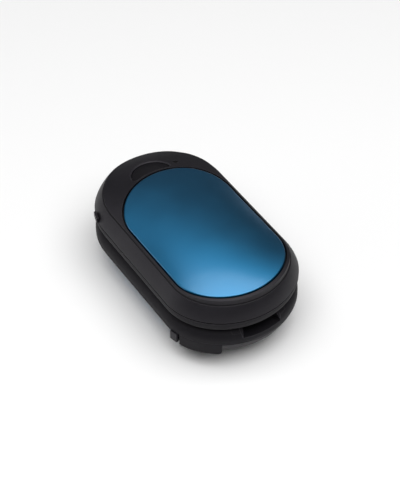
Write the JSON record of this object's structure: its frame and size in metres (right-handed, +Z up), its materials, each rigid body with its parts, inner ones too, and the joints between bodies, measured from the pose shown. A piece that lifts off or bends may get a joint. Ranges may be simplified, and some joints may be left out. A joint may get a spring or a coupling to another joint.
{
  "type": "rechargeable hand warmer",
  "caption": "Flat oblong electric hand warmer of two domed warming units docked back to back by magnets, each with an aluminium heat plate, half-moon push button and cord lug.",
  "frame": {"origin": "centre of the outline at the level of the lower heat plate's crown, which is the surface the object rests on", "axes": "+Z up through both units, +Y along the length towards the control end of the upper unit, +X across the width; the lower unit's control end is at -Y"},
  "size_m": [0.0582, 0.101, 0.0399],
  "materials": {
    "blue_plate": "satin anodised, pressed sheet",
    "black_shell": "fine satin moulded black",
    "black_button": "satin moulded black",
    "black_rubber": "matte sealing rubber",
    "door_rubber": "matte moulded rubber",
    "amber_film": "amber polyimide film",
    "white_foam": "soft off-white insulation",
    "black_switch": "moulded black",
    "light_pipe": "clear moulded",
    "green_board": "green solder mask",
    "steel": "plated steel",
    "cell_wrap": "foil pouch with film wrap",
    "nickel": "nickel plated"
  },
  "bodies": {
    "lower_unit": {"lower_heat_plate": "blue_plate", "lower_plate_seal": "black_rubber", "lower_heater_film": "amber_film", "lower_foam_pad": "white_foam", "lower_frame": "black_shell", "lower_switch": "black_switch", "lower_status_light": "light_pipe", "lower_circuit_board": "green_board", "lower_charge_socket": "steel", "lower_battery": "cell_wrap", "lower_base_cover": "black_shell", "lower_magnets": "nickel", "lower_screws": "steel", "lower_door_pin": "steel"},
    "upper_unit": {"upper_heat_plate": "blue_plate", "upper_plate_seal": "black_rubber", "upper_heater_film": "amber_film", "upper_foam_pad": "white_foam", "upper_frame": "black_shell", "upper_switch": "black_switch", "upper_status_light": "light_pipe", "upper_circuit_board": "green_board", "upper_charge_socket": "steel", "upper_battery": "cell_wrap", "upper_base_cover": "black_shell", "upper_magnets": "nickel", "upper_screws": "steel"},
    "upper_key": {"upper_button": "black_button"},
    "lower_key": {"lower_button": "black_button"},
    "door": {"lower_port_door": "door_rubber"}
  },
  "joints": [
    {"name": "undock", "type": "slide", "parent": "lower_unit", "child": "upper_unit", "axis": [0, 0, 1], "range_m": [0, 0.06]},
    {"name": "upper_press", "type": "slide", "parent": "upper_unit", "child": "upper_key", "axis": [0, 0, -1], "range_m": [0, 0.0005], "stiffness_N_per_m": 600, "springref_m": -0.0005},
    {"name": "lower_press", "type": "slide", "parent": "lower_unit", "child": "lower_key", "axis": [0, 0, 1], "range_m": [0, 0.0005], "stiffness_N_per_m": 600, "springref_m": -0.0005},
    {"name": "door_swing", "type": "hinge", "parent": "lower_unit", "child": "door", "pos_m": [-0.02626, -0.0327, 0.01025], "axis": [0, 0, -1], "range_deg": [0, 90]}
  ]
}
